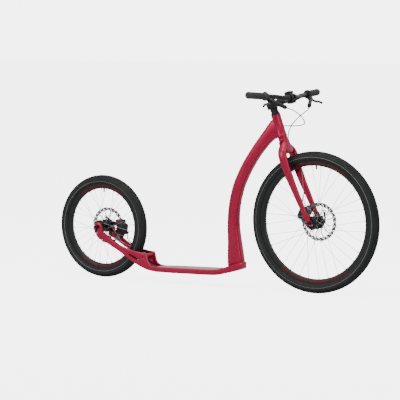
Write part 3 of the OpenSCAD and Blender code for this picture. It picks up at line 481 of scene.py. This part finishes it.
def hose_mesh(name, points_mm, radius, steps=6, sides=14):
    path = [p / 1000 for p in catmull(points_mm, steps)]
    rings, across = [], None
    for i, p in enumerate(path):
        along = (path[min(i + 1, len(path) - 1)] - path[max(i - 1, 0)]).normalized()
        if across is None:
            across = along.orthogonal().normalized()
        across = (across - across.dot(along) * along).normalized()
        up = along.cross(across)
        rings.append([p + radius * (math.cos(2 * math.pi * k / sides) * across
                                    + math.sin(2 * math.pi * k / sides) * up)
                      for k in range(sides)])
    return closed_skin(name, rings)


# ---- things that repeat, grown by nodes ------------------------------------
def node_tree(name, ins):
    tree = bpy.data.node_groups.new(name, "GeometryNodeTree")
    tree.interface.new_socket("Geometry", in_out="INPUT", socket_type="NodeSocketGeometry")
    for label, kind in ins:
        tree.interface.new_socket(label, in_out="INPUT", socket_type=kind)
    tree.interface.new_socket("Geometry", in_out="OUTPUT", socket_type="NodeSocketGeometry")
    return tree, tree.nodes.new("NodeGroupInput"), tree.nodes.new("NodeGroupOutput")


def finish_tree(tree, ins, outs, instances):
    real = node(tree, "GeometryNodeRealizeInstances")
    paint = node(tree, "GeometryNodeSetMaterial")
    tree.links.new(instances, real.inputs[0])
    tree.links.new(real.outputs[0], paint.inputs["Geometry"])
    tree.links.new(ins.outputs["Finish"], paint.inputs["Material"])
    tree.links.new(paint.outputs[0], outs.inputs[0])
    return tree


def ring_of_blocks():
    """Blocks stood in a ring about the Y axis, leaned over by Lean."""
    tree, ins, outs = node_tree("ring_of_blocks", [
        ("Count", "NodeSocketInt"), ("Ring Radius", FLOAT), ("Side", FLOAT), ("Lean", FLOAT),
        ("Start", FLOAT), ("Block", VECTOR), ("Twist", FLOAT), ("Hub", VECTOR),
        ("Finish", "NodeSocketMaterial")])
    link = tree.links.new
    dots = node(tree, "GeometryNodePoints")
    link(ins.outputs["Count"], dots.inputs["Count"])
    index = node(tree, "GeometryNodeInputIndex")
    turn = maths(tree, "ADD", maths(tree, "MULTIPLY", maths(
        tree, "DIVIDE", index.outputs[0], ins.outputs["Count"]), 2 * math.pi),
        ins.outputs["Start"])
    spot = node(tree, "ShaderNodeCombineXYZ")
    link(maths(tree, "MULTIPLY", maths(tree, "COSINE", turn), ins.outputs["Ring Radius"]),
         spot.inputs[0])
    link(ins.outputs["Side"], spot.inputs[1])
    link(maths(tree, "MULTIPLY", maths(tree, "SINE", turn), ins.outputs["Ring Radius"]),
         spot.inputs[2])
    shifted = node(tree, "ShaderNodeVectorMath", operation="ADD")
    link(spot.outputs[0], shifted.inputs[0])
    link(ins.outputs["Hub"], shifted.inputs[1])
    link(shifted.outputs[0], dots.inputs["Position"])
    cube = node(tree, "GeometryNodeMeshCube")
    link(ins.outputs["Block"], cube.inputs["Size"])
    tip = node(tree, "ShaderNodeCombineXYZ")
    link(ins.outputs["Twist"], tip.inputs[0])
    link(ins.outputs["Lean"], tip.inputs[2])
    leaned = node(tree, "GeometryNodeTransform")
    link(cube.outputs["Mesh"], leaned.inputs["Geometry"])
    link(tip.outputs[0], leaned.inputs["Rotation"])
    spin = node(tree, "ShaderNodeCombineXYZ")
    link(maths(tree, "MULTIPLY", turn, -1.0), spin.inputs[1])
    stand = node(tree, "GeometryNodeInstanceOnPoints")
    link(dots.outputs[0], stand.inputs["Points"])
    link(leaned.outputs[0], stand.inputs["Instance"])
    link(spin.outputs[0], stand.inputs["Rotation"])
    return finish_tree(tree, ins, outs, stand.outputs[0])


def row_of_rings():
    """Equal round ribs at even steps up the Z axis."""
    tree, ins, outs = node_tree("row_of_rings", [
        ("Count", "NodeSocketInt"), ("Step", FLOAT), ("Ring Radius", FLOAT), ("Rib", FLOAT),
        ("Finish", "NodeSocketMaterial")])
    link = tree.links.new
    line = node(tree, "GeometryNodeMeshLine", mode="OFFSET")
    step = node(tree, "ShaderNodeCombineXYZ")
    link(ins.outputs["Step"], step.inputs[2])
    link(ins.outputs["Count"], line.inputs["Count"])
    link(step.outputs[0], line.inputs["Offset"])
    loop = node(tree, "GeometryNodeCurvePrimitiveCircle", mode="RADIUS")
    loop.inputs["Resolution"].default_value = 40
    link(ins.outputs["Ring Radius"], loop.inputs["Radius"])
    bead = node(tree, "GeometryNodeCurvePrimitiveCircle", mode="RADIUS")
    bead.inputs["Resolution"].default_value = 8
    link(ins.outputs["Rib"], bead.inputs["Radius"])
    solid = node(tree, "GeometryNodeCurveToMesh")
    link(loop.outputs[0], solid.inputs["Curve"])
    link(bead.outputs[0], solid.inputs["Profile Curve"])
    copies = node(tree, "GeometryNodeInstanceOnPoints")
    link(line.outputs[0], copies.inputs["Points"])
    link(solid.outputs[0], copies.inputs["Instance"])
    return finish_tree(tree, ins, outs, copies.outputs[0])


def weld_ripples():
    """Overlapping low beads at even steps along the input path."""
    tree, ins, outs = node_tree("weld_ripples", [
        ("Step", FLOAT), ("Bead", FLOAT), ("Finish", "NodeSocketMaterial")])
    link = tree.links.new
    path = node(tree, "GeometryNodeMeshToCurve")
    link(ins.outputs["Geometry"], path.inputs[0])
    dots = node(tree, "GeometryNodeCurveToPoints", mode="LENGTH")
    link(path.outputs[0], dots.inputs["Curve"])
    link(ins.outputs["Step"], dots.inputs["Length"])
    blob = node(tree, "GeometryNodeMeshIcoSphere")
    blob.inputs["Subdivisions"].default_value = 2
    link(ins.outputs["Bead"], blob.inputs["Radius"])
    copies = node(tree, "GeometryNodeInstanceOnPoints")
    link(dots.outputs["Points"], copies.inputs["Points"])
    link(blob.outputs["Mesh"], copies.inputs["Instance"])
    return finish_tree(tree, ins, outs, copies.outputs[0])


BLOCKS, RINGS, RIPPLES = ring_of_blocks(), row_of_rings(), weld_ripples()


def grown(name, tree, start_mesh=None, **values):
    """Runs a node tree once and returns the plain mesh that it makes."""
    seed_mesh = start_mesh or bpy.data.meshes.new(name + "_seed")
    maker = bpy.data.objects.new(name + "_maker", seed_mesh)
    bpy.context.collection.objects.link(maker)
    grow = maker.modifiers.new("grow", "NODES")
    grow.node_group = tree
    for item in tree.interface.items_tree:
        label = item.name.replace(" ", "_").lower()
        if item.in_out == "INPUT" and label in values:
            grow[item.identifier] = values[label]
    mesh = baked(maker)
    bpy.data.objects.remove(maker)
    mesh.name = name
    return mesh


def joined(name, meshes):
    build = bmesh.new()
    for mesh in meshes:
        build.from_mesh(mesh)
    out = bpy.data.meshes.new(name)
    build.to_mesh(out)
    build.free()
    return out


def moved(mesh, place):
    mesh.transform(place)
    if place.determinant() < 0:
        mesh.flip_normals()
    return mesh


def weld_along(name, loops, body, bead=0.0012):
    """Painted weld beads along each path of points, in metres."""
    seams = []
    for points, shut in loops:
        path = bpy.data.meshes.new("seam_path")
        count = len(points)
        edges = [(i, i + 1) for i in range(count - 1)] + ([(count - 1, 0)] if shut else [])
        path.from_pydata([tuple(p) for p in points], edges, [])
        seams.append(grown("seam", RIPPLES, path, step=bead * 1.05, bead=bead, finish=PAINT))
    return placed(name, joined(name, seams), PAINT, body)


# ---- wheels ----------------------------------------------------------------
def axle_place(hub):
    """Z along the axle, towards the rider's left."""
    return Matrix.Translation(hub) @ Matrix.Rotation(math.radians(-90), 4, "X")


def tyre(name, hub, outer, finish, blocks):
    """A rubber casing with moulded side ribs, and rows of tread blocks."""
    skin = 0.0022
    centre = outer - TYRE_HALF
    profile = []
    for k in range(-25, 26):
        turn = math.radians(5 * k)
        thick = TYRE_HALF - (skin if abs(5 * k) < 62 else 0.0006)
        if abs(k) in (15, 19):
            thick += 0.0011
        profile.append((thick * math.sin(turn), centre + thick * math.cos(turn)))
    bead = outer - BEAD_DEPTH
    side = [(0.0182, bead + 0.0094), (0.016, bead + 0.0063), (0.0106, bead + 0.0063),
            (0.0103, bead + 0.0007), (0.007, bead + 0.0007), (0.007, bead + 0.007)]
    inner = [((TYRE_HALF - 0.003) * math.sin(math.radians(a)),
              centre + (TYRE_HALF - 0.003) * math.cos(math.radians(a)))
             for a in range(125, -126, -10)]
    profile += side + inner + [(-z, r) for z, r in side[::-1]]
    casing = lathe(name + "_casing", profile, axle_place(hub), 160)
    rows = []
    for angle, size, count, offset, twist in blocks:
        turn = math.radians(angle)
        rows.append(grown("tread", BLOCKS, count=count,
                          ring_radius=centre + (TYRE_HALF - size[0] / 2) * math.cos(turn),
                          side=(TYRE_HALF - size[0] / 2) * math.sin(turn), lean=turn,
                          start=offset / count * 2 * math.pi, block=size, twist=twist,
                          hub=tuple(hub), finish=finish))
    obj = placed(name + "_rubber", joined(name, [casing] + rows), finish,
                 BODY_OF[name])
    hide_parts(name)


def tread(count):
    return [(0, (0.0042, 0.0052, 0.0110), count, 0.0, 0.0),
            (17, (0.0040, 0.0056, 0.0095), count, 0.5, 0.35),
            (-17, (0.0040, 0.0056, 0.0095), count, 0.5, -0.35),
            (35, (0.0038, 0.0060, 0.0085), count, 0.0, 0.0),
            (-35, (0.0038, 0.0060, 0.0085), count, 0.0, 0.0),
            (53, (0.0036, 0.0070, 0.0070), count, 0.5, 0.0),
            (-53, (0.0036, 0.0070, 0.0070), count, 0.5, 0.0)]


tyre("front_tyre", FRONT_HUB, FRONT_TYRE_R, FRONT_RUBBER, tread(128))
tyre("rear_tyre", REAR_HUB, REAR_TYRE_R, REAR_RUBBER, tread(98))

# ---- frame, fork and fittings with eased edges -----------------------------
for name, width in (("main_tube", 0.0008), ("head_tube", 0.0012), ("deck", 0.0035),
                    ("left_stay", 0.0028), ("right_stay", 0.0028), ("rear_bridge", 0.0015),
                    ("fork_crown", 0.0012), ("left_fork_blade", 0.0010),
                    ("right_fork_blade", 0.0010), ("stem", 0.0016), ("faceplate", 0.0014),
                    ("front_caliper", 0.0014), ("rear_caliper", 0.0014),
                    ("front_caliper_adapter", 0.0008), ("rear_caliper_adapter", 0.0008),
                    ("left_lever_body", 0.0012), ("right_lever_body", 0.0012),
                    ("left_lever_blade", 0.0014), ("right_lever_blade", 0.0014),
                    ("front_qr_lever", 0.0009), ("rear_qr_lever", 0.0009),
                    ("top_cap", 0.0007), ("handlebar", 0.0004), ("front_hub", 0.0005),
                    ("rear_hub", 0.0005)):
    eased(name, width)

# ---- grips -----------------------------------------------------------------
BAR_MID = Vector((0.424774, 0, 0.902966))


def bar_place(at):
    """Z out along the left half of the bar, from its bend."""
    turn = (Matrix.Rotation(BAR_SWEEP, 4, "Z") @ Matrix.Rotation(BAR_RISE, 4, "X")
            @ Matrix.Rotation(math.radians(-90), 4, "X"))
    return (Matrix.Translation(BAR_MID + Vector((-0.010, 0.110, 0.006))) @ turn
            @ Matrix.Translation((0, 0, at)))


def grip(side):
    name = side + "_grip"
    profile = [(0, 0.0112), (0, 0.0200), (0.0012, 0.0212), (0.0042, 0.0212), (0.0056, 0.0200),
               (0.0080, 0.0182), (0.0130, 0.0162), (0.0160, 0.0154), (0.112, 0.0154),
               (0.115, 0.0163), (0.126, 0.0165), (0.1292, 0.0158), (0.130, 0.0145),
               (0.130, 0.0112)]
    body = lathe(name + "_sleeve", profile, Matrix(), 56)
    ribs = grown("ribs", RINGS, count=36, step=0.0026, ring_radius=0.0153, rib=0.0009,
                 finish=GRIP_RUBBER)
    ribs.transform(Matrix.Translation((0, 0, 0.019)))
    mesh = moved(joined(name, [body, ribs]), bar_place(0.089))
    if side == "right":
        mesh = moved(mesh, Matrix.Scale(-1, 4, (0, 1, 0)))
    obj = placed(name + "_ribbed", mesh, GRIP_RUBBER, "fork")
    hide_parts(name)


grip("left")
grip("right")

# ---- hoses: routes in millimetres --------------------------------------------
REAR_LOOP = [(464.6, -104.2, 859.5), (470, -92, 855), (480, -72, 848), (491, -42, 830),
             (494, -8, 808), (487, 22, 789), (466, 41, 777), (436, 45, 772), (404, 41, 771),
             (372, 35, 771), (345, 31, 768), (326, 27, 761), (316, 20.0, 752)]
REAR_TAIL = [(-290, 27, 65.5), (-338, 28, 71.5), (-372, 30, 82), (-412, 32, 104),
             (-452, 33.5, 133), (-480, 34.6, 161.5), (-503, 40, 178), (-519, 44.5, 190),
             (-523.8, 46.4, 202), (-522.1, 46.6, 214)]
FRONT_RUN = [(464.6, 104.2, 859.5), (469.5, 93, 855.3), (470, 83, 846), (455, 76, 833),
             (428, 71, 811), (396, 68, 778), (378, 68, 744), (374, 69, 708), (386, 70, 672),
             (406, 70, 636), (424, 70, 600), (440, 69.5, 562), (455, 69, 522), (462, 68.5, 490),
             (462, 67.5, 462), (458, 60, 436), (461, 52, 418), (462.8, 47, 404.5),
             (459.6, 46.6, 396)]
loop = placed("rear_hose_bend", hose_mesh("rear_hose_bend", REAR_LOOP, HOSE_R),
              HOSE_JACKET)
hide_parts("rear_hose_loop")
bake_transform(loop)
tail = placed("rear_hose_run", hose_mesh("rear_hose_run", REAR_TAIL, HOSE_R), HOSE_JACKET,
              "frame")
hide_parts("rear_hose")
front = placed("front_hose_run", hose_mesh("front_hose_run", FRONT_RUN, HOSE_R), HOSE_JACKET,
               "fork")
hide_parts("front_hose")


# ---- weld beads ------------------------------------------------------------
def rounded_loop(centre, across, along, half_a, half_b, power=4.0, count=64):
    points = []
    for k in range(count):
        c, s = math.cos(2 * math.pi * k / count), math.sin(2 * math.pi * k / count)
        points.append(Vector(centre) + Vector(across) * math.copysign(
            half_a * abs(c) ** (2 / power), c) + Vector(along) * math.copysign(
            half_b * abs(s) ** (2 / power), s))
    return points


LEAN = (math.cos(math.radians(-18)), 0, -math.sin(math.radians(-18)))
beads = [(rounded_loop((0.1335, 0, 0.1086), LEAN, (0, 1, 0), 0.0412, 0.0262), True)]
for side in (-1, 1):
    outer, inner, bridge = side * 0.0435, side * 0.0306, side * 0.0328
    beads.append(([(-0.3003, outer, 0.0502), (-0.3003, outer, 0.0740)], False))
    beads.append(([(-0.3003, outer, 0.0741), (-0.3003, inner, 0.0741)], False))
    for level in (0.1312, 0.1228):
        beads.append(([(-0.384, side * 0.0337, level), (-0.358, bridge, level)], False))
weld_along("frame_weld_beads", beads, "frame")

# ---- studio ----------------------------------------------------------------
WHITE_SEEN, FLOOR_SEEN = 5.0, 4.6
ROOM_LIGHT, ROOM_SHINE = 0.38, 0.55
FLOOR_REACH = 90


def studio():
    look_at = Vector((-0.0707, 0.0, 0.4062))
    turn, lift, away = math.radians(32.014), math.radians(4.722), 9.1027
    eye = look_at + away * Vector((math.sin(turn) * math.cos(lift),
                                   -math.cos(turn) * math.cos(lift), math.sin(lift)))
    lens = bpy.data.cameras.new("view")
    lens.sensor_width, lens.lens = 36.0, 171.03
    camera = bpy.data.objects.new("view", lens)
    camera.location = eye
    camera.rotation_euler = (look_at - eye).to_track_quat("-Z", "Y").to_euler()
    bpy.context.collection.objects.link(camera)
    bpy.context.scene.camera = camera

    world = bpy.data.worlds.new("white_room")
    world.use_nodes = True
    room = world.node_tree
    back = room.nodes["Background"]
    back.inputs["Color"].default_value = (1.0, 1.0, 1.0, 1.0)
    sight = room.nodes.new("ShaderNodeLightPath")
    seen = maths(room, "MULTIPLY", sight.outputs["Is Camera Ray"], WHITE_SEEN)
    shine = maths(room, "MULTIPLY", sight.outputs["Is Glossy Ray"], ROOM_SHINE)
    room.links.new(maths(room, "ADD", ROOM_LIGHT, maths(room, "ADD", seen, shine)),
                   back.inputs["Strength"])
    bpy.context.scene.world = world

    def soft_light(name, where, size, power, colour=(1, 1, 1)):
        lamp = bpy.data.lights.new(name, "AREA")
        lamp.shape, lamp.size, lamp.size_y = "RECTANGLE", size[0], size[1]
        lamp.energy, lamp.color = power, colour
        held = bpy.data.objects.new(name, lamp)
        held.location = where
        held.rotation_euler = (Vector((0, 0, 0.4)) - Vector(where)).to_track_quat(
            "-Z", "Y").to_euler()
        bpy.context.collection.objects.link(held)

    soft_light("overhead", (0.3, -0.6, 3.2), (3.4, 2.2), 62)
    soft_light("from_camera_left", (-2.6, -4.2, 2.2), (2.0, 2.4), 34)
    soft_light("from_camera_right", (4.6, -2.4, 2.0), (1.2, 2.6), 26)

    ground = bpy.data.meshes.new("floor")
    ground.from_pydata([(x * FLOOR_REACH, y * FLOOR_REACH, 0)
                        for x, y in ((-1, -1), (1, -1), (1, 1), (-1, 1))], [],
                       [(0, 1, 2, 3)])
    floor = bpy.data.objects.new("floor", ground)
    bpy.context.collection.objects.link(floor)
    mat, tree, shader = open_material("pale_floor")
    mottle = use_group(tree, MOTTLE, Scale=1.5, Low=0.75, High=0.85)
    tree.links.new(mottle.outputs["Value"], shader.inputs["Roughness"])
    shader.inputs["Base Color"].default_value = (0.9, 0.9, 0.9, 1)
    shader.inputs["Emission Color"].default_value = (1, 1, 1, 1)
    sight = tree.nodes.new("ShaderNodeLightPath")
    tree.links.new(maths(tree, "MULTIPLY", sight.outputs["Is Camera Ray"], FLOOR_SEEN),
                   shader.inputs["Emission Strength"])
    ground.materials.append(mat)


studio()
